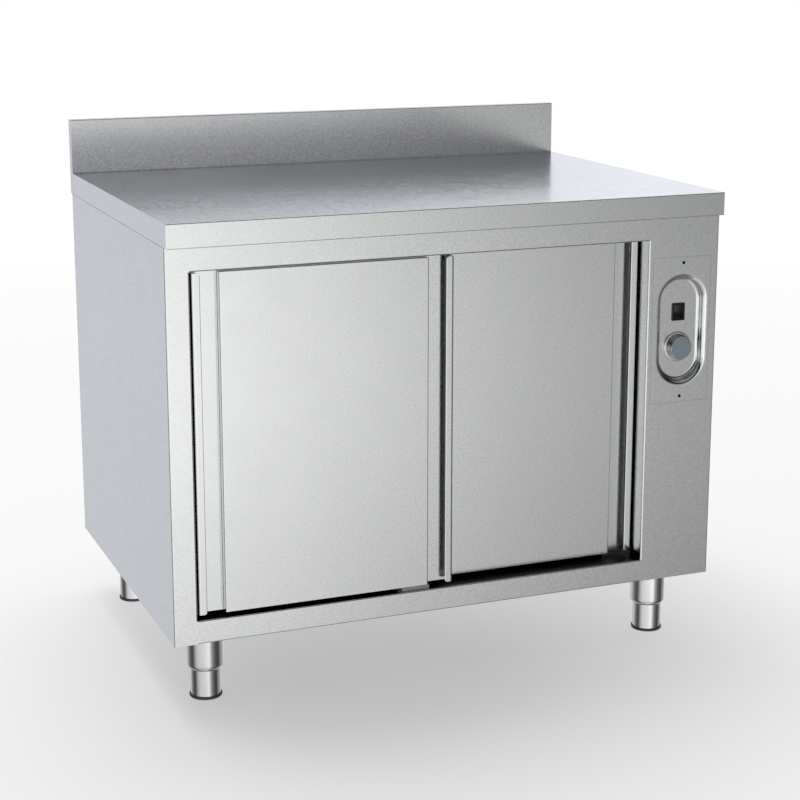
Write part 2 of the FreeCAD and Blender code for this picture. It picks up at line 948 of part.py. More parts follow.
# Door gear on the cabinet
def make_track(y):
    centre = y + pocket_middle
    half = track_width / 2
    lip = track_slot / 2
    section = [
        (centre - lip, track_bottom),
        (centre - half, track_bottom),
        (centre - half, track_top),
        (centre + half, track_top),
        (centre + half, track_bottom),
        (centre + lip, track_bottom),
    ]
    run = Vector(opening_right - opening_left - 2 * track_end_gap, 0, 0)
    place = in_section(opening_left + track_end_gap)
    return folded(section, track_sheet, track_bend, -1, place, run)


def make_stops():
    blocks = []
    reach = hanger_neck_length / 2 + stop_gap
    front_left, front_right = hanger_middles(front_door_x)
    rear_left, rear_right = hanger_middles(rear_door_x)
    travel = rear_door_x - front_door_x
    places = (
        (front_door_y, front_left - reach - stop_length),
        (front_door_y, front_right + travel + reach),
        (rear_door_y, rear_left - travel - reach - stop_length),
        (rear_door_y, rear_right + reach),
    )
    half = track_width / 2 - track_sheet - stop_side_gap
    for y, x in places:
        centre = y + pocket_middle
        blocks.append(box(x, x + stop_length, centre - half, centre + half, track_floor,
                          track_floor + stop_height))
    return group(blocks)


def make_guide():
    x = rear_door_x - guide_overhang + guide_length / 2
    low_y = body_front + guide_front_setback
    pocket = door_pocket / 2 - guide_fin_gap
    high_y = rear_door_y + pocket_middle + pocket + guide_edge
    top = opening_bottom + guide_block_height
    block = box(x - guide_length / 2, x + guide_length / 2, low_y, high_y, opening_bottom, top)
    fins = []
    for y in (front_door_y, rear_door_y):
        centre = y + pocket_middle
        fins.append(box(x - guide_fin_length / 2, x + guide_fin_length / 2, centre - pocket,
                        centre + pocket, top, top + guide_fin_rise))
    return fuse([block] + fins)


# Controls
def make_cover_frame():
    near = body_front + sheet
    far = near + cover_frame_sheet
    rim = cover_lap
    plate = box(cover_left - rim, cover_right + rim, near, far, cover_bottom - rim, cover_top + rim)
    window_x = recess_width / 2 + 2 * sheet
    window_z = recess_height / 2 + 2 * sheet
    wire = obround_face(window_x, window_z, control_x, near - overrun, recess_z)
    window = Part.Face(wire).extrude(Vector(0, cover_frame_sheet + 2 * overrun, 0))
    holes = [screw_cylinder(z, screw_shank_radius, near - overrun, cover_frame_sheet + 2 * overrun)
             for z in screw_heights()]
    return plate.cut(group([window] + holes))


def screw_heights():
    return cover_bottom + cover_screw_inset, cover_top - cover_screw_inset


def screw_cylinder(z, radius, y, length):
    return Part.makeCylinder(radius, length, Vector(control_x, y, z), Vector(0, 1, 0))


def recess_solid(grow, extra, ahead):
    """The drafted obround of the recess, grown by a wall and run ahead of the front face."""
    half_width = recess_width / 2 + grow
    half_height = recess_height / 2 + grow
    mouth = obround_face(half_width, half_height, control_x, body_front, recess_z)
    floor = obround_face(half_width - recess_draft, half_height - recess_draft, control_x,
                         recess_floor + extra, recess_z)
    cup = Part.makeLoft([mouth, floor], True, True)
    if ahead > 0:
        lead = obround_face(half_width, half_height, control_x, body_front - ahead, recess_z)
        cup = cup.fuse(Part.Face(lead).extrude(Vector(0, ahead, 0)))
    return cup


def make_cover():
    plate = box(cover_left + cover_seam, cover_right - cover_seam, body_front, body_front + sheet,
                cover_bottom + cover_seam, cover_top - cover_seam)
    inner = recess_solid(0, 0, overrun)
    cover = plate.fuse(recess_solid(sheet, sheet, 0)).cut(inner).removeSplitter()

    def at_depth(plane):
        return [edge for edge in cover.Edges if inside_recess(edge)
                and abs(edge.BoundBox.YMin - plane) < same_place
                and abs(edge.BoundBox.YMax - plane) < same_place]

    cover = cover.makeFillet(recess_rim_radius, at_depth(body_front))
    cover = cover.makeFillet(recess_rim_radius - sheet, at_depth(body_front + sheet))
    cover = cover.makeFillet(recess_floor_radius, at_depth(recess_floor))
    cover = cover.makeFillet(recess_floor_radius + sheet, at_depth(recess_floor + sheet))
    cuts = [box(control_x - switch_body_width / 2 - switch_cut_gap,
                control_x + switch_body_width / 2 + switch_cut_gap,
                recess_floor - overrun, recess_floor + sheet + overrun,
                switch_z - switch_body_height / 2 - switch_cut_gap,
                switch_z + switch_body_height / 2 + switch_cut_gap)]
    cuts.append(Part.makeCylinder(thermostat_bush_radius + screw_gap, sheet + 2 * overrun,
                                  Vector(control_x, recess_floor - overrun, knob_z),
                                  Vector(0, 1, 0)))
    for z in screw_heights():
        cuts.append(screw_cylinder(z, screw_head_radius + screw_gap, body_front - overrun,
                                   sheet + 2 * overrun))
    return cover.cut(group(cuts))


def inside_recess(edge):
    """Leaves out the four straight edges of the cover plate itself."""
    size = edge.BoundBox
    middle_x = (size.XMin + size.XMax) / 2 - control_x
    middle_z = (size.ZMin + size.ZMax) / 2 - recess_z
    return abs(middle_x) < recess_width / 2 + sheet and abs(middle_z) < recess_height / 2 + sheet


def make_cover_screws():
    screws = []
    for z in screw_heights():
        head = screw_cylinder(z, screw_head_radius, body_front, sheet)
        shank = screw_cylinder(z, screw_shank_radius, body_front + sheet, screw_length - sheet)
        screws.append(head.fuse(shank))
    return group(screws)


def make_switch_housing():
    bezel_front = recess_floor - switch_bezel_thickness
    bezel = box(control_x - switch_bezel_width / 2, control_x + switch_bezel_width / 2,
                bezel_front, recess_floor,
                switch_z - switch_bezel_height / 2, switch_z + switch_bezel_height / 2)

    def at_bezel_corner(edge):
        start, stop = edge.Vertexes[0].Point, edge.Vertexes[-1].Point
        return abs(start.y - stop.y) > switch_bezel_thickness / 2

    bezel = round_edges(bezel, switch_wall, at_bezel_corner)
    body = box(control_x - switch_body_width / 2, control_x + switch_body_width / 2,
               recess_floor, recess_floor + switch_body_depth,
               switch_z - switch_body_height / 2, switch_z + switch_body_height / 2)
    cavity = box(control_x - switch_body_width / 2 + switch_wall,
                 control_x + switch_body_width / 2 - switch_wall,
                 bezel_front - overrun, recess_floor + switch_cavity_depth,
                 switch_z - switch_body_height / 2 + switch_wall,
                 switch_z + switch_body_height / 2 - switch_wall)
    pins = rocker_pin(rocker_pin_radius + running_gap, switch_body_width / 2 + overrun)
    tabs = []
    back_face = recess_floor + switch_body_depth
    for side in (-1, 1):
        for up in (-1, 1):
            x = control_x + side * switch_tab_spread
            z = switch_z + up * switch_tab_spread
            tabs.append(box(x - switch_tab_thickness / 2, x + switch_tab_thickness / 2, back_face,
                            back_face + switch_tab_length, z - switch_tab_width / 2,
                            z + switch_tab_width / 2))
    inside = box(control_x - switch_bezel_width / 2, control_x + switch_bezel_width / 2,
                 recess_floor, recess_floor + switch_body_depth,
                 switch_z - switch_bezel_height / 2, switch_z + switch_bezel_height / 2)
    return fuse([bezel, body] + tabs).cut(cavity).cut(pins.common(inside))


def rocker_pin(radius, half_length):
    return Part.makeCylinder(radius, 2 * half_length,
                             Vector(control_x - half_length, recess_floor + rocker_pivot_depth,
                                    switch_z), Vector(1, 0, 0))


def make_rocker():
    half = switch_body_width / 2 - switch_wall - rocker_side_gap
    pivot_y = recess_floor + rocker_pivot_depth
    shape = [
        (rocker_half_height, rocker_end_rise),
        (0, rocker_mid_rise),
        (-rocker_half_height, rocker_end_rise),
        (-rocker_half_height, -rocker_end_drop),
        (-rocker_heel, -rocker_heel),
        (rocker_heel, -rocker_heel),
        (rocker_half_height, -rocker_end_drop),
    ]
    points = [Vector(control_x - half, pivot_y - out, switch_z + up) for up, out in shape]
    rocker = Part.Face(Part.makePolygon(points + points[:1])).extrude(Vector(2 * half, 0, 0))
    rocker = fuse([rocker, rocker_pin(rocker_pin_radius, half + rocker_pin_length)])
    rocker.rotate(Vector(control_x, pivot_y, switch_z), Vector(1, 0, 0), -rocker_tilt)
    return rocker


def front_cylinder(radius, y, length, z):
    return Part.makeCylinder(radius, length, Vector(control_x, y, z), Vector(0, 1, 0))


def knob_back():
    return recess_floor - bezel_ring_thickness - knob_gap


def knob_front():
    return knob_back() - knob_height


def make_bezel_ring():
    ring = front_cylinder(bezel_ring_radius, recess_floor - bezel_ring_thickness,
                          bezel_ring_thickness, knob_z)
    front_edge = [edge for edge in ring.Edges
                  if abs(edge.BoundBox.YMax - (recess_floor - bezel_ring_thickness)) < same_place]
    ring = ring.makeChamfer(bezel_ring_thickness / 2, front_edge)
    bore = front_cylinder(bezel_ring_bore, recess_floor - bezel_ring_thickness - overrun,
                          bezel_ring_thickness + 2 * overrun, knob_z)
    return ring.cut(bore)


def make_knob():
    grip = Part.makeCone(knob_top_radius, knob_base_radius, knob_height,
                         Vector(control_x, knob_front(), knob_z), Vector(0, 1, 0))
    front_edge = [edge for edge in grip.Edges if abs(edge.BoundBox.YMax - knob_front()) < same_place]
    grip = grip.makeFillet(knob_round / 2, front_edge)
    face = front_cylinder(knob_cap_radius, knob_front() - overrun, overrun + knob_cap_thickness,
                          knob_z)
    socket = front_cylinder(shaft_radius, knob_back() - knob_socket_depth,
                            knob_socket_depth + overrun, knob_z)
    return grip.cut(face).cut(socket)


def make_knob_cap():
    return front_cylinder(knob_cap_radius, knob_front(), knob_cap_thickness, knob_z)


def make_thermostat_shaft():
    start = knob_back() - knob_socket_depth
    end = recess_floor + sheet + thermostat_depth / 2
    return front_cylinder(shaft_radius, start, end - start, knob_z)


def make_thermostat():
    near = recess_floor + sheet
    half = thermostat_width / 2
    case = box(control_x - half, control_x + half, near, near + thermostat_depth,
               knob_z - half, knob_z + half)

    def upright_edge(edge):
        start, stop = edge.Vertexes[0].Point, edge.Vertexes[-1].Point
        return abs(start.y - stop.y) > thermostat_depth / 2

    case = round_edges(case, thermostat_bush_radius, upright_edge)
    bush = front_cylinder(thermostat_bush_radius, recess_floor - thermostat_bush_length,
                          thermostat_bush_length + sheet, knob_z)
    bore = front_cylinder(shaft_radius + running_gap, recess_floor - overrun - thermostat_bush_length,
                          overrun + thermostat_bush_length + sheet + thermostat_depth / 2, knob_z)
    return fuse([case, bush]).cut(bore)


def make_terminal_block():
    near = opening_right + sheet
    length = terminal_poles * terminal_pitch
    block = box(near, near + terminal_depth, terminal_y - length / 2, terminal_y + length / 2,
                terminal_z - terminal_height / 2, terminal_z + terminal_height / 2)
    screws = []
    for index in range(terminal_poles):
        y = terminal_y + (index - (terminal_poles - 1) / 2) * terminal_pitch
        screws.append(Part.makeCylinder(terminal_screw_radius, terminal_screw_radius + overrun,
                                        Vector(near + terminal_depth - terminal_screw_radius, y,
                                               terminal_z), Vector(1, 0, 0)))
    return block.cut(group(screws))


def make_gland():
    x, y = gland_place()
    outer = body_bottom - gland_flange
    up = Vector(0, 0, 1)
    pieces = [Part.makeCylinder(gland_radius, gland_flange, Vector(x, y, outer), up)]
    dome = Part.makeCone(gland_thread_radius, gland_radius, gland_dome,
                         Vector(x, y, outer - gland_dome), up)
    pieces.append(dome)
    pieces.append(Part.makeCylinder(gland_thread_radius, sheet + gland_nut,
                                    Vector(x, y, body_bottom), up))
    pieces.append(Part.makeCylinder(gland_radius, gland_nut, Vector(x, y, body_bottom + sheet), up))
    bore = Part.makeCylinder(gland_bore, gland_dome + gland_flange + sheet + gland_nut + 2 * overrun,
                             Vector(x, y, outer - gland_dome - overrun), up)
    return fuse(pieces).cut(bore)


# Fan: a bladed wheel between baffle and partition, turned by a motor behind the partition
def along_x(radius, x, length):
    return Part.makeCylinder(radius, length, Vector(x, fan_y, fan_z), Vector(1, 0, 0))


def make_impeller():
    plate_face = opening_right - impeller_wall_gap
    pieces = [along_x(impeller_radius, plate_face - impeller_plate, impeller_plate)]
    pieces.append(along_x(impeller_hub_radius, plate_face - impeller_width, impeller_width))
    pieces.append(along_x(shaft_radius, plate_face, impeller_wall_gap + sheet
                          + motor_plate_thickness + motor_shaft_length))
    radial = impeller_radius - impeller_blade_inner
    blade = box(plate_face - impeller_width, plate_face - impeller_plate,
                -impeller_blade_thickness / 2, impeller_blade_thickness / 2, -radial / 2, radial / 2)
    blade.rotate(Vector(0, 0, 0), Vector(1, 0, 0), impeller_blade_lean)
    blade.translate(Vector(0, 0, impeller_blade_inner + radial / 2 - impeller_blade_thickness))
    for index in range(impeller_blades):
        copy = blade.copy()
        copy.rotate(Vector(0, 0, 0), Vector(1, 0, 0), index * 360 / impeller_blades)
        copy.translate(Vector(0, fan_y, fan_z))
        pieces.append(copy)
    return fuse(pieces)


def make_motor():
    near = opening_right + sheet
    half = motor_plate_width / 2
    plate = box(near, near + motor_plate_thickness, fan_y - half, fan_y + half,
                fan_z - half, fan_z + half)
    stack_start = near + motor_plate_thickness
    stack = box(stack_start, stack_start + motor_stack_depth, fan_y - motor_stack_width / 2,
                fan_y + motor_stack_width / 2, fan_z - motor_stack_height / 2,
                fan_z + motor_stack_height / 2)
    bell = along_x(motor_bell_radius, stack_start + motor_stack_depth, motor_bell_depth)
    bore = along_x(shaft_radius + running_gap, near - overrun, overrun + motor_plate_thickness
                   + motor_shaft_length + overrun)
    return fuse([plate, stack, bell]).cut(bore)


# Heating element: an open ring of sheathed tube round the fan, with two legs to its flange
def make_element():
    x = (baffle_x + sheet + opening_right) / 2
    half = math.degrees(math.asin(element_opening / 2 / element_ring_radius))
    y, z = element_ends()[1]
    way_round = Vector(0, fan_z - z, y - fan_y)
    section = Part.makeCircle(element_tube_radius, Vector(x, y, z), way_round)
    ring = Part.Face(Part.Wire(section)).revolve(Vector(x, fan_y, fan_z), Vector(1, 0, 0),
                                                 360 - 2 * half)
    pieces = [ring]
    for y, z in element_ends():
        pieces.append(Part.makeSphere(element_tube_radius, Vector(x, y, z)))
        pieces.append(Part.makeCylinder(element_tube_radius, opening_right - x + element_leg_length,
                                        Vector(x, y, z), Vector(1, 0, 0)))
    half_width = element_opening / 2 + element_flange_margin
    pieces.append(box(opening_right - element_flange_thickness, opening_right,
                      fan_y - half_width, fan_y + half_width,
                      z - element_flange_margin, z + element_flange_margin))
    return fuse(pieces)


# Legs: a sleeve under a plate, and a foot tube that screws in and out of it on a pad
def revolve(points, x, y):
    outline = [Vector(radius, 0, z) for radius, z in points]
    face = Part.Face(Part.makePolygon(outline + outline[:1]))
    solid = face.revolve(Vector(0, 0, 0), Vector(0, 0, 1), 360)
    solid.translate(Vector(x, y, 0))
    return solid


def make_sleeve(x, y):
    top = body_bottom - leg_plate_thickness
    low = body_bottom - sleeve_length
    inner = sleeve_radius - sleeve_wall
    neck = leg_tube_radius + leg_slide_gap
    lip = neck + sleeve_wall / 3
    sleeve = revolve([
        (inner, top),
        (sleeve_radius, top),
        (sleeve_radius, low + sleeve_shoulder),
        (lip, low),
        (neck, low),
        (neck, low + sleeve_wall),
        (inner, low + sleeve_shoulder + sleeve_wall / 2),
    ], x, y)
    half = leg_plate_width / 2
    plate = box(x - half, x + half, y - half, y + half, top, body_bottom)

    def is_upright(edge):
        start, stop = edge.Vertexes[0].Point, edge.Vertexes[-1].Point
        return abs(start.z - stop.z) > leg_plate_thickness / 2

    return fuse([sleeve, round_edges(plate, leg_plate_corner, is_upright)])


def make_leg_tube(x, y):
    top = body_bottom - leg_plate_thickness - leg_tube_top_gap
    low = leg_pad_height
    inner = leg_tube_radius - leg_tube_wall
    return revolve([
        (inner, low),
        (leg_tube_radius, low),
        (leg_tube_radius, top),
        (inner, top),
    ], x, y)


def make_leg_pad(x, y):
    plug = leg_tube_radius - leg_tube_wall - leg_pad_plug_gap
    return revolve([
        (0, 0),
        (leg_pad_radius - leg_pad_round, 0),
        (leg_pad_radius, leg_pad_round),
        (leg_pad_radius, leg_pad_height - leg_pad_round / 2),
        (leg_pad_radius - leg_pad_round / 2, leg_pad_height),
        (plug, leg_pad_height),
        (plug, leg_pad_height + leg_pad_plug),
        (0, leg_pad_height + leg_pad_plug),
    ], x, y)


save("worktop", make_worktop())
save("worktop_stiffeners", make_stiffeners())
save("left_side_panel", make_left_side())
save("right_side_panel", make_right_side())
save("top_rail", make_top_rail())
save("base_panel", make_base())
save("back_panel", make_back_panel())
save("chamber_left_wall", make_left_wall())
save("chamber_back_wall", make_back_wall())
save("chamber_ceiling", make_ceiling())
save("chamber_floor", make_floor())
save("partition", make_partition())
save("air_baffle", make_baffle())
make_insulation()
save("shelf", make_shelf())
save("shelf_uprights", make_uprights())
save("shelf_clips", make_clips())

for name, door_x, door_y in (("left", front_door_x, front_door_y), ("right", rear_door_x, rear_door_y)):
    save(name + "_door_front_skin", make_front_skin(door_x, door_y))
    save(name + "_door_back_skin", make_back_skin(door_x, door_y))
    save(name + "_door_insulation", make_door_slab(door_x, door_y))
    save(name + "_door_hangers", make_hangers(door_x, door_y))
    for end, middle in zip(("left", "right"), hanger_middles(door_x)):
        save(name + "_door_roller_" + end, make_roller(middle, door_y))

save("front_track", make_track(front_door_y))
save("rear_track", make_track(rear_door_y))
save("track_stops", make_stops())
save("bottom_guide", make_guide())
save("cover_frame", make_cover_frame())
save("control_cover", make_cover())
save("cover_screws", make_cover_screws())
save("switch_housing", make_switch_housing())
save("switch_rocker", make_rocker())
save("thermostat_body", make_thermostat())
save("thermostat_shaft", make_thermostat_shaft())
save("knob_bezel", make_bezel_ring())
save("knob", make_knob())
save("knob_cap", make_knob_cap())
save("terminal_block", make_terminal_block())
save("cable_gland", make_gland())
save("fan_impeller", make_impeller())
save("fan_motor", make_motor())
save("heating_element", make_element())

sleeves = []
for side, end, x, y in leg_places():
    name = ("rear" if end > 0 else "front") + ("_left" if side < 0 else "_right")
    sleeves.append(make_sleeve(x, y))
    save("leg_tube_" + name, make_leg_tube(x, y))
    save("leg_pad_" + name, make_leg_pad(x, y))
save("leg_sleeves", group(sleeves))
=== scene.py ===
import math

import bmesh
import bpy
from mathutils import Matrix, Vector


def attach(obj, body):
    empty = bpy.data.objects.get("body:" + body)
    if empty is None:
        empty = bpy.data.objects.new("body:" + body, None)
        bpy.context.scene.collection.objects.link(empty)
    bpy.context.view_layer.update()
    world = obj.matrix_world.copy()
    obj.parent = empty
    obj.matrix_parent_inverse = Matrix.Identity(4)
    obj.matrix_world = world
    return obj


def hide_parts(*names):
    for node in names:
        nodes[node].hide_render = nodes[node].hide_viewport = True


# Dressing of the plate warmer cabinet: camera, studio, finishes and the finely made visible pieces.
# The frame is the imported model's, in metres: +X right, -Y front, +Z up, the floor at zero. Shapes
# are written in millimetres and turned into metres with MM.

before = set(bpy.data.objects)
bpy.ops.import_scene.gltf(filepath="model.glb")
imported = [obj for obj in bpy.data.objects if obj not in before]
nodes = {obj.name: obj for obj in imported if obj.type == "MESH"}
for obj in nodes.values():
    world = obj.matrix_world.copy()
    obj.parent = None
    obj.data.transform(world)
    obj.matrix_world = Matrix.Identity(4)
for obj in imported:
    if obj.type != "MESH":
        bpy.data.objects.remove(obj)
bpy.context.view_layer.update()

MM = 0.001
ROUND = 96  # steps of a full turn

# The control panel, in millimetres
BODY_FRONT = -336.0
CONTROL_X = 430.75
RECESS_Z = 584.0
RECESS_DEPTH = 14.0
RECESS_FLOOR = BODY_FRONT + RECESS_DEPTH
RECESS_STRAIGHT = 51.0  # half the height of its straight sides
SWITCH_Z = RECESS_Z + 30.0
ROCKER_AXIS = RECESS_FLOOR + 2.0
KNOB_Z = RECESS_Z - 33.0
KNOB_BASE = RECESS_FLOOR - 2.4


# Finishes ---------------------------------------------------------------------------------------

OFF_LATTICE = (0.0137, 0.0071, 0.0053)  # keeps flat faces off the planes of the noise's lattice


class Varying:
    """A number or colour that varies over a surface; arithmetic on it adds Math nodes."""

    def __init__(self, recipe, node, socket):
        self.recipe, self.node, self.socket = recipe, node, socket

    def output(self, name):
        return Varying(self.recipe, self.node, self.node.outputs[name])

    def math(self, operation, *others):
        inputs = dict(enumerate((self, *others)))
        return self.recipe.add("ShaderNodeMath", {"operation": operation}, inputs)

    def __add__(self, other):
        return self.math("ADD", other)

    def __sub__(self, other):
        return self.math("SUBTRACT", other)

    def __mul__(self, other):
        return self.math("MULTIPLY", other)

    def __rsub__(self, other):
        return self.recipe.add("ShaderNodeMath", {"operation": "SUBTRACT"}, {0: other, 1: self})

    __radd__ = __add__


class Recipe:
    """A node tree that is written as Python expressions."""

    def __init__(self, tree):
        self.tree = tree
        tree.nodes.clear()

    def add(self, kind, settings=None, inputs=None, output=0):
        node = self.tree.nodes.new(kind)
        for name, value in (settings or {}).items():
            setattr(node, name, value)
        for name, value in (inputs or {}).items():
            if isinstance(value, Varying):
                self.tree.links.new(value.socket, node.inputs[name])
            else:
                node.inputs[name].default_value = value
        return Varying(self, node, node.outputs[output] if node.outputs else None)

    def ramp(self, value, stops):
        """Turns a value from 0 to 1 into levels or colours, given as (position, level) stops."""
        made = self.add("ShaderNodeValToRGB", None, {0: value})
        elements = made.node.color_ramp.elements
        while len(elements) < len(stops):
            elements.new(1.0)
        for element, (position, colour) in zip(elements, stops):
            element.position = position
            element.color = grey(colour) if isinstance(colour, float) else (*colour, 1.0)
        return made

    def blend(self, factor, first, second, kind="MIX"):
        return self.add("ShaderNodeMix", {"data_type": "RGBA", "blend_type": kind},
                        {0: factor, 6: first, 7: second}, output=2)

    def coordinate(self, way, space="Object"):
        """X, Y or Z: in metres on an object, and of the direction, Generated, in the world."""
        spot = self.add("ShaderNodeTexCoord").output(space)
        return self.add("ShaderNodeSeparateXYZ", None, {0: spot}).output(way)

    def place(self, scale=(1.0, 1.0, 1.0)):
        spot = self.add("ShaderNodeTexCoord").output("Object")
        inputs = {"Vector": spot, "Scale": scale, "Location": OFF_LATTICE}
        return self.add("ShaderNodeMapping", None, inputs)

    def noise(self, scale, stretch=(1.0, 1.0, 1.0), detail=2.0, rough=0.5):
        inputs = {"Vector": self.place(stretch), "Scale": scale, "Detail": detail,
                  "Roughness": rough}
        return self.add("ShaderNodeTexNoise", None, inputs)

    def bump(self, height, strength, distance):
        inputs = {"Height": height, "Strength": strength, "Distance": distance}
        return self.add("ShaderNodeBump", None, inputs)


def grey(level):
    return (level, level, level, 1.0)


def finish(name, make, constants=()):
    """A material: make fills in what varies, constants are set on the shader's own sockets."""
    material = bpy.data.materials.new(name)
    material.use_nodes = True
    recipe = Recipe(material.node_tree)
    inputs = dict(constants)
    inputs.update(make(recipe))
    shader = recipe.add("ShaderNodeBsdfPrincipled", None, inputs)
    recipe.add("ShaderNodeOutputMaterial", None, {"Surface": shader})
    return material


GRAIN = (0.8, 0.8, 1.0)
LONG_GRAIN = (0.8, 0.16, 1.0)  # marks that run from front to back
SATIN_ROUGH = 0.20


def brushed(tint, rough, grain=GRAIN, strength=0.05, shade=0.18, share=None):
    """Satin steel: fine short brush marks, faint clouds and handling haze. The marks change the
    tint by up to shade, and share(recipe), if given, says how much of them each spot keeps."""
    def make(recipe):
        marks = recipe.noise(330.0, grain, 1.0)
        if share:
            marks = (marks - 0.5) * share(recipe) + 0.5
        cloud = recipe.noise(5.0, detail=3.0)
        haze = recipe.noise(17.0, detail=2.0)
        bright = tuple(min(1.0, value * (1 + shade)) for value in tint)
        dark = tuple(value * (1 - shade) for value in tint)
        base = recipe.blend(marks * 0.9 + cloud * 0.1, (*dark, 1.0), (*bright, 1.0))
        return {"Base Color": base,
                "Roughness": rough + (marks - 0.5) * 0.10 + (cloud + haze - 1.0) * 0.05,
                "Normal": recipe.bump(marks, strength, 0.0004)}
    return make


def folded(tint):
    """The worktop: satin plate, with fewer marks on its edges and a duller upstand."""
    def across(recipe, way, *stops):
        """A ramp along X or Y, with its stops in metres from the middle of the cabinet."""
        placed = [(0.5 + place, level) for place, level in stops]
        return recipe.ramp(recipe.coordinate(way) + 0.5, placed)

    def fewer_on_edges(recipe):
        front = across(recipe, "Y", (-0.348, 0.5), (-0.346, 1.0))
        ends = across(recipe, "X", (-0.499, 0.45), (-0.498, 1.0), (0.498, 1.0), (0.499, 0.45))
        return front * ends

    satin = brushed(tint, SATIN_ROUGH, LONG_GRAIN, shade=0.28, share=fewer_on_edges)

    def make(recipe):
        made = satin(recipe)
        upstand = across(recipe, "Y", (0.3285, 0.0), (0.3295, 1.0))
        made["Roughness"] = made["Roughness"] + upstand * 0.04
        return made
    return make


def pressed(tint):
    """The control cover: satin plate, a little smoother where the recess was drawn."""
    satin = brushed(tint, SATIN_ROUGH)

    def make(recipe):
        made = satin(recipe)
        depth = (recipe.coordinate("Y") - BODY_FRONT * MM) * (1 / (RECESS_DEPTH * MM))
        drawn = recipe.ramp(depth, [(0.0, 0.0), (0.06, 1.0), (0.92, 1.0), (0.97, 0.0)])
        made["Roughness"] = made["Roughness"] - drawn * 0.08
        return made
    return make


def rolled(tint, rough, spangle=0.0):
    """Plain rolled sheet: cloudy sheen, with soft zinc spangles where it is galvanised."""
    def make(recipe):
        cloud = recipe.noise(12.0, (1.0, 1.0, 0.5), 4.0, 0.6)
        speck = recipe.noise(420.0, detail=2.0)
        mottle = cloud
        if spangle:
            cells = recipe.add("ShaderNodeTexVoronoi", None,
                               {"Vector": recipe.place(), "Scale": 90.0}).output("Color")
            flake = recipe.add("ShaderNodeSeparateColor", None, {0: cells})
            mottle = cloud * (1 - spangle) + flake * spangle
        dark = tuple(value * 0.90 for value in tint)
        light = tuple(min(1.0, value * 1.06) for value in tint)
        return {"Base Color": recipe.blend(mottle, (*dark, 1.0), (*light, 1.0)),
                "Roughness": rough + (mottle - 0.5) * 0.14 + (speck - 0.5) * 0.08,
                "Normal": recipe.bump(speck, 0.05, 0.0003)}
    return make


def moulded(tint, rough, grain=600.0, strength=0.08):
    """Moulded plastic or rubber: a fine eroded skin and slight shade changes."""
    def make(recipe):
        skin = recipe.noise(grain, detail=3.0, rough=0.6)
        cloud = recipe.noise(30.0, detail=2.0)
        dark = tuple(value * 0.86 for value in tint)
        light = tuple(min(1.0, value * 1.12) for value in tint)
        return {"Base Color": recipe.blend(skin * 0.4 + cloud * 0.6, (*dark, 1.0), (*light, 1.0)),
                "Roughness": rough + (skin - 0.5) * 0.12,
                "Normal": recipe.bump(skin, strength, 0.0002)}
    return make


def wool(tint):
    """Mineral wool: matted fibres in layers."""
    def make(recipe):
        fibres = recipe.noise(260.0, (1.0, 1.0, 4.0), 6.0, 0.7)
        layers = recipe.noise(40.0, (0.6, 0.6, 5.0), 4.0, 0.6)
        mix = fibres * 0.6 + layers * 0.4
        dark = tuple(value * 0.6 for value in tint)
        light = tuple(min(1.0, value * 1.25) for value in tint)
        return {"Base Color": recipe.blend(mix, (*dark, 1.0), (*light, 1.0)),
                "Roughness": 0.9 + (fibres - 0.5) * 0.1,
                "Normal": recipe.bump(mix, 0.8, 0.002)}
    return make


SATIN = (0.600, 0.610, 0.605)
DULL = (0.54, 0.545, 0.55)
BRIGHT = (0.61, 0.612, 0.612)
METAL = {"Metallic": 1.0}

finishes = {
    "satin": finish("satin_stainless", brushed(SATIN, SATIN_ROUGH), METAL),
    "satin_sides": finish("satin_sides", brushed(SATIN, SATIN_ROUGH, LONG_GRAIN), METAL),
    "worktop": finish("worktop_satin", folded(SATIN), METAL),
    "pressed_cover": finish("pressed_cover", pressed(SATIN), METAL),
    "mill": finish("mill_stainless", rolled(DULL, 0.36), METAL),
    "zinc": finish("galvanised", rolled(DULL, 0.42, 0.5), METAL),
    "tube": finish("drawn_tube", brushed(BRIGHT, 0.13, (1.0, 1.0, 0.1), 0.02, 0.03), METAL),
    "turned": finish("turned_metal", brushed(BRIGHT, 0.29, (0.3, 1.0, 0.3), 0.03, 0.05), METAL),
    "shaft": finish("shaft_steel", brushed(DULL, 0.25, (1.0, 0.1, 1.0), 0.04, 0.05), METAL),
    "dial": finish("dial_face", moulded((0.38, 0.46, 0.51), 0.42, 900.0), {"Metallic": 0.1}),
    "black": finish("switch_black", moulded((0.012, 0.012, 0.013), 0.38)),
    "gloss_black": finish("rocker_black", moulded((0.010, 0.010, 0.011), 0.3, 900.0, 0.03)),
    "rubber": finish("rubber_black", moulded((0.03, 0.03, 0.03), 0.7)),
    "pad": finish("foot_plastic", moulded((0.13, 0.13, 0.135), 0.45)),
    "grey_plastic": finish("grey_plastic", moulded((0.55, 0.555, 0.56), 0.45)),
    "nylon": finish("nylon", moulded((0.80, 0.79, 0.74), 0.42)),
    "wool": finish("mineral_wool", wool((0.55, 0.48, 0.26))),
    "screw": finish("screw_black", moulded((0.004,) * 3, 0.7), {"Specular IOR Level": 0.15}),
    "case": finish("plated_case", rolled((0.50, 0.50, 0.46), 0.4, 0.2), METAL),
    "pressed": finish("pressed_aluminium", rolled((0.62, 0.63, 0.64), 0.34), METAL),
    "iron": finish("motor_iron", moulded((0.10, 0.105, 0.11), 0.5, 300.0, 0.2)),
    "sheath": finish("element_sheath", brushed((0.28, 0.25, 0.23), 0.42), METAL),
}

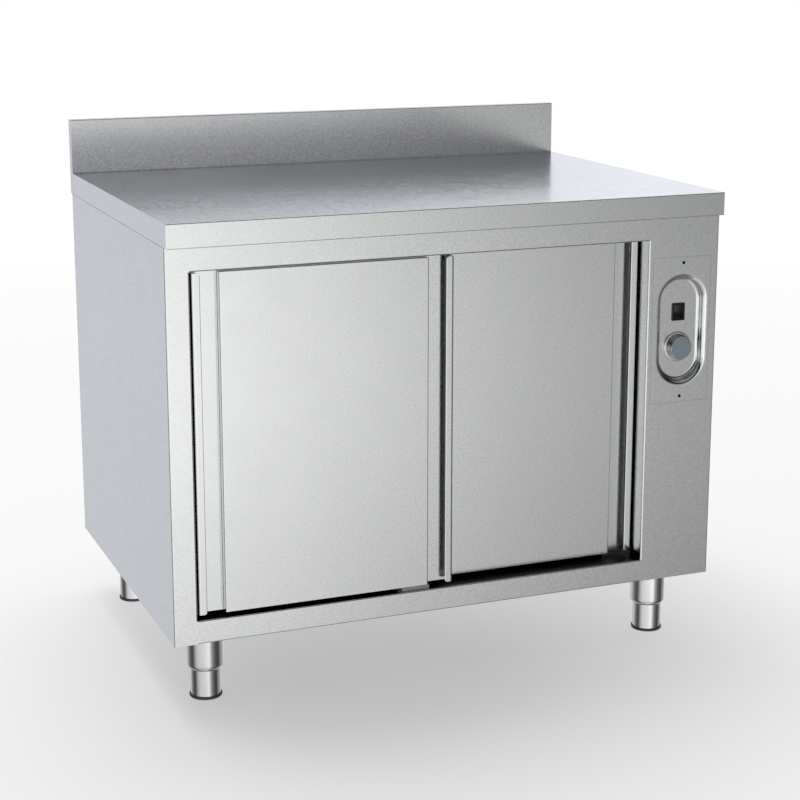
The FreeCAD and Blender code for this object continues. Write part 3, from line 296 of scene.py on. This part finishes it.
# The nodes that show as they are; pieces made below stand for the others and wear their own finish
worn_by = {
    "satin": ["top_rail", "base_panel", "left_door_front_skin", "right_door_front_skin",
              "left_door_back_skin", "right_door_back_skin"],
    "satin_sides": ["left_side_panel", "right_side_panel"],
    "mill": ["chamber_left_wall", "chamber_back_wall", "chamber_ceiling",
             "chamber_floor", "air_baffle", "shelf", "shelf_uprights", "shelf_clips"],
    "zinc": ["back_panel", "worktop_stiffeners", "partition", "cover_frame", "front_track",
             "rear_track", "left_door_hangers", "right_door_hangers"],
    "wool": ["insulation_left", "insulation_back", "insulation_top", "insulation_bottom",
             "left_door_insulation", "right_door_insulation"],
    "nylon": ["left_door_roller_left", "left_door_roller_right", "right_door_roller_left",
              "right_door_roller_right"],
    "grey_plastic": ["cable_gland", "terminal_block"],
    "rubber": ["track_stops"],
    "case": ["thermostat_body"],
    "shaft": ["thermostat_shaft"],
    "pressed": ["fan_impeller"],
    "iron": ["fan_motor"],
    "sheath": ["heating_element"],
}

for material, members in worn_by.items():
    for member in members:
        worn = nodes[member].data.materials
        worn.clear()
        worn.append(finishes[material])


# Studio -----------------------------------------------------------------------------------------

def make_camera():
    """At the photograph's place: the shift only frames the object as the photograph does."""
    down, right = 0.2180, 0.3803
    data = bpy.data.cameras.new("camera")
    data.sensor_width = 36.0
    data.lens = 82.84
    data.shift_y = -0.0667
    camera = bpy.data.objects.new("camera", data)
    camera.location = (-1.2087, -3.1000, 1.2568)
    camera.rotation_euler = (math.pi / 2 - down, 0.0, -right)
    bpy.context.scene.collection.objects.link(camera)
    bpy.context.scene.camera = camera


def make_floor():
    """A pale floor under a painted white glow for camera rays: weakest near the cabinet, where it
    lightens the cabinet's shadow, full white far away. Metal mirrors the world instead.
    """
    middle, reach = (-0.1, -0.27, 0.0), 5.0
    mesh = bpy.data.meshes.new("floor")
    shape = bmesh.new()
    bmesh.ops.create_circle(shape, cap_ends=True, segments=ROUND, radius=60.0)
    shape.to_mesh(mesh)
    shape.free()
    floor = bpy.data.objects.new("floor", mesh)
    bpy.context.scene.collection.objects.link(floor)
    floor.visible_glossy = False

    material = bpy.data.materials.new("floor")
    material.use_nodes = True
    recipe = Recipe(material.node_tree)
    spot = recipe.add("ShaderNodeTexCoord").output("Object")
    away = recipe.add("ShaderNodeVectorMath", {"operation": "DISTANCE"}, {0: spot, 1: middle},
                      output=1)
    # Painted light: the share of white glow mixed over the floor for camera rays, lowest near the
    # cabinet, where it lifts the shadow, rising to full white far away
    painted_glow_share = recipe.ramp(away * (1 / reach), [
        (0.03, 0.40), (0.05, 0.425), (0.076, 0.48), (0.1, 0.53), (0.13, 0.595), (0.164, 0.68),
        (0.19, 0.77), (0.43, 0.87), (0.9, 1.0)])
    rays = recipe.add("ShaderNodeLightPath")
    seen = rays.output("Is Camera Ray").math("MAXIMUM", rays.output("Is Glossy Ray"))
    shown = seen.math("MAXIMUM", rays.output("Is Transmission Ray"))
    plain = recipe.add("ShaderNodeBsdfDiffuse", None, {"Color": grey(0.86)})
    painted_white_glow = recipe.add("ShaderNodeEmission", None, {"Color": grey(1.0), "Strength": 1.0})
    surface = recipe.add("ShaderNodeMixShader", None, {0: painted_glow_share * shown, 1: plain, 2: painted_white_glow})
    recipe.add("ShaderNodeOutputMaterial", None, {"Surface": surface})
    mesh.materials.append(material)


def make_world():
    """Soft studio surround: a bright bank ahead and to the left, dim to the right of it, and a
    pale cool wall behind. One ramp goes round, another up, for the front and for the rear."""
    world = bpy.data.worlds.new("studio")
    world.use_nodes = True
    bpy.context.scene.world = world
    recipe = Recipe(world.node_tree)
    x, y, z = (recipe.coordinate(way, "Generated") for way in "XYZ")
    turn = x.math("ARCTAN2", 0.0 - y)
    round_share = turn * (0.5 / math.pi) + 0.5
    rise_share = z * 0.5 + 0.5

    def ring(*stops):
        """Levels round the horizon: degrees from the front, to the right when above zero."""
        return recipe.ramp(round_share, [(0.5 + degrees / 360.0, level)
                                         for degrees, level in stops])

    def column(*stops):
        """Levels from straight below, at -1, past the horizon, at 0, to straight above, at 1."""
        return recipe.ramp(rise_share, [(0.5 + height / 2.0, level) for height, level in stops])

    def cooled(level):
        return (level * 0.985, level, level * 1.075)

    front = ring((-118, 0.0), (-104, 0.065), (-95, 0.097), (-88, 0.185), (-80, 0.364),
                 (-74, 0.49), (-60, 0.66), (-45, 0.73), (-20, 0.80), (0, 0.947), (8, 1.0),
                 (14, 0.889), (20, 0.623), (26, 0.392), (32, 0.291), (38, 0.218), (46, 0.135),
                 (55, 0.085), (64, 0.064), (75, 0.070), (88, 0.150), (100, 0.0))
    front_rise = column((-1.0, 0.35), (-0.7, 0.42), (-0.45, 0.54), (-0.38, 0.65), (-0.33, 0.8),
                        (-0.28, 0.94), (-0.22, 1.0), (-0.16, 0.95), (-0.1, 0.75),
                        (-0.04, 0.63), (0.04, (0.66, 0.66, 0.70)), (0.1, (0.64, 0.64, 0.69)),
                        (0.15, (0.20, 0.20, 0.24)), (0.22, (0.02, 0.02, 0.03)), (1.0, 0.0))
    rear = ring(*[(degrees, cooled(level)) for degrees, level in (
        (-180, 0.45), (-167, 0.571), (-155, 0.565), (-140, 0.312), (-120, 0.143), (-104, 0.0),
        (85, 0.0), (95, 0.24), (105, 0.330), (120, 0.409), (135, 0.534), (150, 0.64),
        (165, 0.42), (180, 0.45))])
    rear_rise = column((-1.0, 0.35), (-0.6, 0.55), (-0.35, 0.728), (-0.2, 0.759), (-0.08, 0.73),
                       (0.04, 0.772), (0.12, 0.869), (0.2, 1.0), (0.35, 1.0), (0.6, 0.42),
                       (1.0, 0.0))
    below_and_above = column((-1.0, 0.10), (-0.7, 0.05), (-0.5, 0.0), (0.4, 0.0), (0.6, 0.07),
                             (0.85, 0.18), (1.0, 0.24))

    banks = recipe.blend(1.0, recipe.blend(1.0, front, front_rise, "MULTIPLY"),
                         recipe.blend(1.0, rear, rear_rise, "MULTIPLY"), "ADD")
    whole = recipe.blend(1.0, banks, below_and_above, "ADD")
    light = recipe.add("ShaderNodeBackground", None, {"Color": whole, "Strength": 1.925})
    recipe.add("ShaderNodeOutputWorld", None, {"Surface": light})


def make_lamp(name, place, target, size, power):
    """A soft box that lights the floor and the cabinet, and that metal doesn't mirror."""
    data = bpy.data.lights.new(name, "AREA")
    data.shape = "RECTANGLE"
    data.size, data.size_y = size
    data.energy = power
    lamp = bpy.data.objects.new(name, data)
    lamp.location = place
    lamp.rotation_euler = (Vector(target) - Vector(place)).to_track_quat("-Z", "Y").to_euler()
    lamp.visible_camera = False
    lamp.visible_glossy = False
    bpy.context.scene.collection.objects.link(lamp)


# Pieces -----------------------------------------------------------------------------------------

SHARP = math.radians(34)  # an edge that turns more is drawn sharp
BROAD = 0.002  # square metres; a larger face is plane, and is shaded flat
TOUCHING = 0.000002  # metres; closer corners are one


def piece(shape, name, body, material, stands_for):
    """Turns a finished bmesh into a named piece that rides on a body of the model."""
    mesh = bpy.data.meshes.new(name)
    shape.to_mesh(mesh)
    shape.free()
    mesh.set_sharp_from_angle(angle=SHARP)
    for face in mesh.polygons:
        face.use_smooth = face.area < BROAD
    mesh.materials.append(finishes[material])
    thing = bpy.data.objects.new(name, mesh)
    bpy.context.scene.collection.objects.link(thing)
    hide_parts(*stands_for)
    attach(thing, body)


def of_kind(kind, geometry):
    return [thing for thing in geometry if isinstance(thing, kind)]


def edges_along(shape, axis):
    """The edges that run along X, Y or Z, as 0, 1 or 2, for over a millimetre."""
    return [edge for edge in shape.edges
            if abs(edge.verts[0].co[axis] - edge.verts[1].co[axis]) > MM]


def moved(shape, x, y, z=0.0):
    bmesh.ops.translate(shape, verts=shape.verts[:], vec=(x * MM, y * MM, z * MM))
    return shape


def facing_front(shape, x, y, z):
    """Lays a shape made about Z down, so that its height points out of the front."""
    bmesh.ops.rotate(shape, verts=shape.verts[:], cent=(0.0, 0.0, 0.0),
                     matrix=Matrix.Rotation(math.pi / 2, 3, "X"))
    return moved(shape, x, y, z)


def turned(outline, closed=False, steps=ROUND):
    """A turned solid about Z: outline gives (radius, height) in millimetres."""
    shape = bmesh.new()
    corners = [shape.verts.new((radius * MM, 0.0, height * MM)) for radius, height in outline]
    runs = list(zip(corners, corners[1:]))
    if closed:
        runs.append((corners[-1], corners[0]))
    lines = [shape.edges.new(run) for run in runs]
    bmesh.ops.spin(shape, geom=corners + lines, cent=(0.0, 0.0, 0.0), axis=(0.0, 0.0, 1.0),
                   angle=2 * math.pi, steps=steps, use_merge=True)
    bmesh.ops.remove_doubles(shape, verts=shape.verts[:], dist=TOUCHING)
    bmesh.ops.recalc_face_normals(shape, faces=shape.faces[:])
    return shape


def extruded(outline, start, length):
    """A prism along X: outline gives (y, z), and all is in millimetres."""
    shape = bmesh.new()
    end = shape.faces.new([shape.verts.new((start * MM, y * MM, z * MM)) for y, z in outline])
    pushed = bmesh.ops.extrude_face_region(shape, geom=[end])["geom"]
    bmesh.ops.translate(shape, verts=of_kind(bmesh.types.BMVert, pushed),
                        vec=(length * MM, 0.0, 0.0))
    bmesh.ops.recalc_face_normals(shape, faces=shape.faces[:])
    return shape


def soften(shape, edges, radius, segments=3):
    bmesh.ops.bevel(shape, geom=edges, affect="EDGES", offset=radius * MM, segments=segments,
                    profile=0.5, material=-1, clamp_overlap=True)


def block(low, high, radius=0.0, segments=3):
    """A block between two corners, given in millimetres, with all its edges rounded."""
    shape = bmesh.new()
    bmesh.ops.create_cube(shape, size=1.0)
    size = [(b - a) * MM for a, b in zip(low, high)]
    middle = [(a + b) / 2 * MM for a, b in zip(low, high)]
    bmesh.ops.scale(shape, vec=size, verts=shape.verts[:])
    bmesh.ops.translate(shape, vec=middle, verts=shape.verts[:])
    if radius:
        soften(shape, shape.edges[:], radius, segments)
    return shape


def join(shapes):
    """Several shapes as one."""
    whole = bmesh.new()
    for part in shapes:
        mesh = bpy.data.meshes.new("join")
        part.to_mesh(mesh)
        part.free()
        whole.from_mesh(mesh)
        bpy.data.meshes.remove(mesh)
    return whole


# Worktop: one folded shell with its upstand, open below between the returns
def make_worktop():
    half_length, front, rear = 500.0, -350.0, 350.0
    foot, top = 786.0, 826.0
    upstand_front, upstand_top = 330.0, 926.0
    bend, gauge, return_width = 1.2, 1.5, 12.0
    section = [(front, foot), (front, top), (upstand_front, top), (upstand_front, upstand_top),
               (rear, upstand_top), (rear, foot)]
    shape = extruded(section, -half_length, 2 * half_length)
    bends = edges_along(shape, 0)
    low = [edge for edge in shape.edges if edge not in bends
           and max(corner.co.z for corner in edge.verts) < (foot + 1) * MM]
    under = min(shape.faces, key=lambda one: one.calc_center_median().z)
    bmesh.ops.inset_region(shape, faces=[under], thickness=return_width * MM)
    bmesh.ops.delete(shape, geom=[under], context="FACES")
    soften(shape, bends + low, bend, 4)
    bmesh.ops.solidify(shape, geom=shape.faces[:], thickness=gauge * MM)
    return shape


piece(make_worktop(), "worktop_folded", "cabinet", "worktop", ["worktop"])


# Feet: the sleeves welded under the base, and the tubes that screw into them on their pads
def make_sleeve(x, y):
    """A tube with its foot rolled in, welded with a fillet under a plate with round corners."""
    mouth, inside, outside = 26.3, 29.0, 31.3
    foot, shoulder, top = 51.0, 60.0, 123.0
    start = math.radians(30)
    roll = [(mouth + (outside - mouth) * (math.sin(turn) - math.sin(start)) / (1 - math.sin(start)),
             shoulder - (shoulder - foot) * math.cos(turn) / math.cos(start))
            for turn in (math.radians(30 + 60 * step / 8) for step in range(9))]
    sleeve = turned([(mouth, 52.4)] + roll + [(outside, 61.0), (outside, 122.0), (outside, top),
                    (inside, top), (inside, shoulder)], closed=True)
    plate = block((-50, -50, top), (50, 50, top + 3))
    soften(plate, edges_along(plate, 2), 10.0, 6)
    fillet = turned([(outside, 121.2), (31.9, 121.5), (32.4, 122.2), (33.0, top), (outside, top)],
                    closed=True)
    return moved(join([sleeve, plate, fillet]), x, y)


def make_tube(x, y):
    tube = turned([(24.5, 5.0), (25.7, 5.0), (26.0, 5.3), (26.0, 115.5), (25.5, 116.0),
                   (24.5, 116.0)], closed=True)
    return moved(tube, x, y)


def make_pad(x, y):
    pad = turned([(0.0, 0.0), (26.2, 0.0), (27.2, 0.3), (27.8, 0.9), (28.0, 1.7), (28.0, 4.2),
                  (27.8, 4.7), (27.3, 5.0), (26.9, 4.9), (26.5, 4.4), (24.4, 4.4), (24.4, 17.0),
                  (0.0, 17.0)])
    return moved(pad, x, y)


LEGS = {"front_left": (-426.0, -251.0), "rear_left": (-426.0, 259.0),
        "front_right": (426.0, -251.0), "rear_right": (426.0, 259.0)}

piece(join([make_sleeve(*spot) for spot in LEGS.values()]), "leg_sleeves_turned", "cabinet",
      "tube", ["leg_sleeves"])
for leg, spot in LEGS.items():
    piece(make_tube(*spot), "leg_tube_turned_" + leg, "foot_" + leg, "tube",
          ["leg_tube_" + leg])
    piece(make_pad(*spot), "leg_pad_moulded_" + leg, "foot_" + leg, "pad",
          ["leg_pad_" + leg])


# Control cover: a flat plate with a drafted obround recess pressed into it
def obround(shape, half_width, y):
    """An upright obround loop: a circle turned by half a step, so that no corner lies on its
    sides, with its upper and its lower half moved apart."""
    made = bmesh.ops.create_circle(shape, cap_ends=False, segments=ROUND, radius=half_width * MM)
    loop = made["verts"]
    turn = Matrix.Rotation(math.pi / 2, 3, "X") @ Matrix.Rotation(math.pi / ROUND, 3, "Z")
    bmesh.ops.rotate(shape, verts=loop, cent=(0.0, 0.0, 0.0), matrix=turn)
    for way in (-1, 1):
        half = [corner for corner in loop if corner.co.z * way > 0]
        bmesh.ops.translate(shape, verts=half, vec=(0.0, 0.0, way * RECESS_STRAIGHT * MM))
    bmesh.ops.translate(shape, verts=loop, vec=(CONTROL_X * MM, y * MM, RECESS_Z * MM))
    return list({edge for corner in loop for edge in corner.link_edges})


def next_ring(shape, loop, ratio, deeper):
    """Runs an obround loop on to the next: each half round is scaled about its own centre."""
    made = bmesh.ops.extrude_edge_only(shape, edges=loop)["geom"]
    corners = of_kind(bmesh.types.BMVert, made)
    for way in (-1, 1):
        half = [corner for corner in corners if (corner.co.z - RECESS_Z * MM) * way > 0]
        centre = Vector((CONTROL_X, 0.0, RECESS_Z + way * RECESS_STRAIGHT)) * MM
        bmesh.ops.scale(shape, vec=(ratio, 1.0, ratio), verts=half,
                        space=Matrix.Translation(-centre))
    bmesh.ops.translate(shape, verts=corners, vec=(0.0, deeper * MM, 0.0))
    return of_kind(bmesh.types.BMEdge, made)


def recess_profile(rim=49.4, foot=36.0, lip=7.65, fillet=5.7, steepest=87):
    """Half widths and depths down the drawn wall: a rounded lip, a steep wall, a fillet."""
    turns = [math.radians(steepest * step / 9) for step in range(10)]
    down = [(rim - lip * math.sin(turn), lip * (1 - math.cos(turn))) for turn in turns]
    up = [(foot + fillet * math.sin(turn), RECESS_DEPTH - fillet * (1 - math.cos(turn)))
          for turn in reversed(turns)]
    return down + up


def make_cover():
    left, right, foot, top = 370.9, 485.6, 453.9, 714.1
    opening, floor_edge, gauge = 52.0, 34.0, 1.0
    shape = bmesh.new()
    outer = obround(shape, opening, BODY_FRONT)
    corners = [shape.verts.new((x * MM, BODY_FRONT * MM, z * MM))
               for x, z in ((left, foot), (right, foot), (right, top), (left, top))]
    rim = [shape.edges.new(pair) for pair in zip(corners, corners[1:] + corners[:1])]
    bmesh.ops.triangle_fill(shape, use_beauty=True, edges=rim + outer)
    loop, width, depth = outer, opening, 0.0
    for half, deep in recess_profile() + [(floor_edge, RECESS_DEPTH)]:
        loop = next_ring(shape, loop, half / width, deep - depth)
        width, depth = half, deep
    bmesh.ops.edgeloop_fill(shape, edges=loop)
    bmesh.ops.recalc_face_normals(shape, faces=shape.faces[:])
    if sum(face.normal.y * face.calc_area() for face in shape.faces) > 0:
        bmesh.ops.reverse_faces(shape, faces=shape.faces[:])
    bmesh.ops.solidify(shape, geom=shape.faces[:], thickness=gauge * MM)
    return shape


piece(make_cover(), "control_cover_pressed", "cabinet", "pressed_cover",
      ["control_cover"])


# Thermostat knob: a tapered skirt with a rolled rim round a let-in disc, on a chamfered ring
def make_knob():
    knob = turned([(0.0, 0.0), (22.2, 0.0), (22.8, 0.3), (23.0, 0.9), (22.9, 1.8), (20.9, 12.3),
                   (20.6, 13.1), (20.1, 13.5), (19.7, 13.5), (19.5, 13.2), (19.4, 12.8),
                   (0.0, 12.8)])
    return facing_front(knob, CONTROL_X, KNOB_BASE, KNOB_Z)


def make_cap():
    cap = turned([(0.0, 12.8), (19.35, 12.8), (19.35, 13.3), (19.1, 13.55), (0.0, 13.6)])
    return facing_front(cap, CONTROL_X, KNOB_BASE, KNOB_Z)


def make_ring():
    ring = turned([(12.0, 0.0), (27.0, 0.0), (27.0, 0.9), (26.7, 1.4), (26.0, 1.9), (25.5, 2.0),
                   (12.0, 2.0)], closed=True)
    return facing_front(ring, CONTROL_X, RECESS_FLOOR, KNOB_Z)


piece(make_knob(), "knob_turned", "thermostat_knob", "turned", ["knob"])
piece(make_cap(), "knob_disc", "thermostat_knob", "dial", ["knob_cap"])
piece(make_ring(), "knob_ring", "cabinet", "turned", ["knob_bezel"])


# Rocker switch: a rounded frame round a dished rocker
def behind_floor(x, z, half_x, half_z, near, far, radius=0.0, segments=3):
    """A block about a spot of the switch, between two depths behind the recess's floor."""
    return block((CONTROL_X + x - half_x, RECESS_FLOOR + near, SWITCH_Z + z - half_z),
                 (CONTROL_X + x + half_x, RECESS_FLOOR + far, SWITCH_Z + z + half_z),
                 radius, segments)


def make_switch_frame():
    """A frame with a deep well for the rocker, and behind it the body and its four tabs."""
    shape = behind_floor(0.0, 0.0, 12.5, 15.7, -2.0, 0.0)
    soften(shape, edges_along(shape, 1), 1.2, 4)
    face = min(shape.faces, key=lambda one: one.calc_center_median().y)
    bmesh.ops.inset_region(shape, faces=[face], thickness=0.7 * MM, depth=0.0)
    face = min(shape.faces, key=lambda one: (round(one.calc_center_median().y, 5),
                                             -one.calc_area()))
    bmesh.ops.inset_region(shape, faces=[face], thickness=1.6 * MM, depth=0.0)
    rim = face.edges[:]
    well = bmesh.ops.extrude_discrete_faces(shape, faces=[face])["faces"][0]
    bmesh.ops.translate(shape, verts=well.verts[:], vec=(0.0, 12.0 * MM, 0.0))
    soften(shape, [edge for edge in rim if edge.is_valid], 0.35, 2)
    body = behind_floor(0.0, 0.0, 10.8, 13.8, 12.5, 22.0, 0.6)
    tabs = [behind_floor(x, z, 0.4, 3.15, 22.0, 31.0, 0.2, 2)
            for x in (-7.0, 7.0) for z in (-7.0, 7.0)]
    return join([shape, body] + tabs)


def make_rocker():
    """A rocker with a dished face, tilted to the near end of its swing of 16 degrees."""
    half_width = 9.9
    outline = [(-5.6, 12.0), (-4.1, 6.0), (-3.5, 0.0), (-4.1, -6.0), (-5.6, -12.0),
               (1.0, -12.0), (5.0, -5.0), (5.0, 5.0), (1.0, 12.0)]
    shape = extruded(outline, -half_width, 2 * half_width)
    soften(shape, [edge for edge in shape.edges if edge.calc_face_angle(0.0) > 1.0], 0.5)
    bmesh.ops.rotate(shape, verts=shape.verts[:], cent=(0.0, 0.0, 0.0),
                     matrix=Matrix.Rotation(math.radians(-8), 3, "X"))
    return moved(shape, CONTROL_X, ROCKER_AXIS, SWITCH_Z)


piece(make_switch_frame(), "switch_frame_moulded", "cabinet", "black",
      ["switch_housing"])
piece(make_rocker(), "rocker_moulded", "rocker", "gloss_black",
      ["switch_rocker"])


# Cover screws: small domed heads, each with a round dimple
def make_screw(z):
    head = turned([(0.0, 0.1), (0.8, 0.1), (1.1, 0.55), (2.0, 0.5), (2.7, 0.3), (3.0, 0.0),
                   (3.0, -0.2), (1.6, -0.3), (1.6, -1.0), (1.2, -1.0), (1.2, -9.0),
                   (0.0, -9.0)], steps=32)
    return facing_front(head, CONTROL_X, BODY_FRONT, z)


piece(join([make_screw(z) for z in (464.0, 704.0)]), "cover_screws_domed", "cabinet",
      "screw", ["cover_screws"])


# Bottom guide: a moulded block with one fin under each door
def make_guide():
    body = block((-97.5, -331, 166), (-47.5, -282, 173), 1.0)
    fins = [block((-84.5, y - 1.5, 172.4), (-60.5, y + 1.5, 185), 0.5, 2)
            for y in (-316.5, -285.5)]
    return join([body] + fins)


piece(make_guide(), "bottom_guide_moulded", "cabinet", "grey_plastic",
      ["bottom_guide"])


make_camera()
make_floor()
make_world()
make_lamp("overhead", place=(-0.5, 0.9, 3.9), target=(0.0, 0.0, 0.0), size=(2.2, 2.2), power=85.0)
bpy.context.scene.view_settings.view_transform = "Standard"
